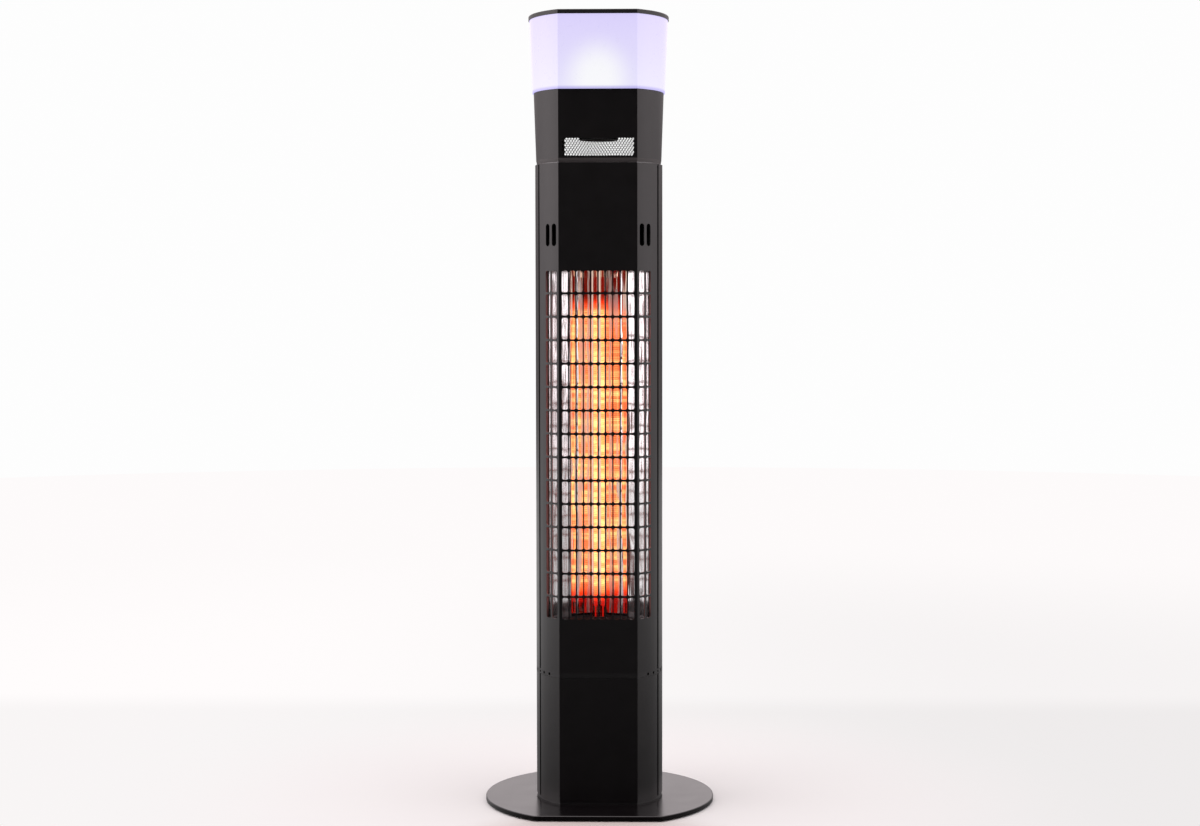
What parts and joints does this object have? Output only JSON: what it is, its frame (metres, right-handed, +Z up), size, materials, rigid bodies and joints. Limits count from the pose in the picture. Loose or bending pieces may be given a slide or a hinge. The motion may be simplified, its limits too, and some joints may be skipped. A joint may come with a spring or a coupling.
{
  "type": "infrared patio heater tower",
  "caption": "Tall infrared patio heater column with a front heating grille, a loudspeaker mesh in the head, a lit lamp under a flat cap and a round-sided steel base plate.",
  "frame": {"origin": "on the floor, under the middle of the base plate", "axes": "+Z up the column, the grille faces -Y, +X to the right as seen from the front"},
  "size_m": [0.3216, 0.2714, 1.1],
  "materials": {
    "black_powder_coat": "satin black powder coat",
    "base_black_coat": "satin black powder coat on thick plate",
    "black_plastic": "fine-grained black moulding",
    "button_plastic": "dark grey soft-sheen keys",
    "rocker_plastic": "glossy black",
    "galvanised_steel": "galvanised sheet",
    "zinc_fasteners": "zinc plated",
    "black_fasteners": "blackened",
    "polished_aluminium": "polished reflector sheet",
    "aluminised_sheet": "plain aluminium sheet",
    "quartz": "clear quartz, glowing",
    "element_alloy": "resistance ribbon at working heat",
    "white_ceramic": "unglazed white",
    "silicone_lead": "silicone covered lead",
    "circuit_board": "green solder mask",
    "relay_case": "blue relay case",
    "bimetal_can": "plain steel can",
    "speaker_mesh": "etched steel mesh",
    "speaker_steel": "black painted steel",
    "speaker_paper": "black pressed pulp",
    "magnet_ferrite": "bare ferrite",
    "led_emitter": "phosphor face, lit",
    "opal_diffuser": "opal diffuser, lit",
    "rubber_pads": "black rubber"
  },
  "bodies": {
    "tower": {"base_feet": "rubber_pads", "base_plate": "base_black_coat", "base_screws": "zinc_fasteners", "foot_frame": "galvanised_steel", "foot_trim_ring": "black_plastic", "foot_front_panel": "black_powder_coat", "foot_rear_panel": "black_powder_coat", "foot_panel_screws": "black_fasteners", "cable_gland": "black_plastic", "gland_lock_nut": "black_plastic", "gland_dome_nut": "black_plastic", "vent_ring": "black_plastic", "joint_bolts": "zinc_fasteners", "joint_nuts": "zinc_fasteners", "chassis_base": "galvanised_steel", "side_rail_left": "galvanised_steel", "side_rail_right": "galvanised_steel", "chassis_top": "galvanised_steel", "grille_panel": "black_powder_coat", "rear_panel": "black_powder_coat", "rear_panel_screws": "black_fasteners", "reflector": "polished_aluminium", "heat_shield": "aluminised_sheet", "reflector_bottom_plate": "polished_aluminium", "reflector_top_plate": "polished_aluminium", "quartz_tubes": "quartz", "heating_elements": "element_alloy", "lower_tube_holder": "white_ceramic", "upper_tube_holder": "white_ceramic", "thermal_cutout": "bimetal_can", "element_leads": "silicone_lead", "terminal_block": "white_ceramic", "tilt_switch_bracket": "galvanised_steel", "tilt_switch_pin": "zinc_fasteners", "electronics_bracket": "galvanised_steel", "power_board": "circuit_board", "relays": "relay_case", "control_panel": "black_plastic", "rocker_housing": "black_plastic", "button_board": "circuit_board", "head_base_ring": "black_plastic", "head_bolts": "zinc_fasteners", "head_shell": "black_powder_coat", "front_speaker_mesh": "speaker_mesh", "rear_speaker_mesh": "speaker_mesh", "speaker_can": "black_plastic", "speaker_basket": "speaker_steel", "speaker_magnet": "magnet_ferrite", "speaker_cone": "speaker_paper", "lamp_tray": "galvanised_steel", "led_board": "circuit_board", "leds": "led_emitter", "lamp_diffuser": "opal_diffuser", "top_cap": "black_plastic"},
    "power_rocker": {"power_rocker": "rocker_plastic"},
    "heat_button": {"heat_button": "button_plastic"},
    "light_button": {"light_button": "button_plastic"},
    "volume_up_button": {"volume_up_button": "button_plastic"},
    "volume_down_button": {"volume_down_button": "button_plastic"},
    "tilt_pendulum": {"tilt_pendulum": "bimetal_can"}
  },
  "joints": [
    {"name": "power_rocker_tilt", "type": "hinge", "parent": "tower", "child": "power_rocker", "pos_m": [0.028, 0.07112, 0.845], "axis": [1, 0, 0], "range_deg": [-18, 0]},
    {"name": "heat_button_press", "type": "slide", "parent": "tower", "child": "heat_button", "axis": [0, -1, 0], "range_m": [0, 0.0012], "stiffness_N_per_m": 300, "springref_m": -0.0004},
    {"name": "light_button_press", "type": "slide", "parent": "tower", "child": "light_button", "axis": [0, -1, 0], "range_m": [0, 0.0012], "stiffness_N_per_m": 300, "springref_m": -0.0004},
    {"name": "volume_up_button_press", "type": "slide", "parent": "tower", "child": "volume_up_button", "axis": [0, -1, 0], "range_m": [0, 0.0012], "stiffness_N_per_m": 300, "springref_m": -0.0004},
    {"name": "volume_down_button_press", "type": "slide", "parent": "tower", "child": "volume_down_button", "axis": [0, -1, 0], "range_m": [0, 0.0012], "stiffness_N_per_m": 300, "springref_m": -0.0004},
    {"name": "tilt_pendulum_swing", "type": "hinge", "parent": "tower", "child": "tilt_pendulum", "pos_m": [0.028, 0.022, 0.2305], "axis": [1, 0, 0], "range_deg": [-25, 25]}
  ]
}
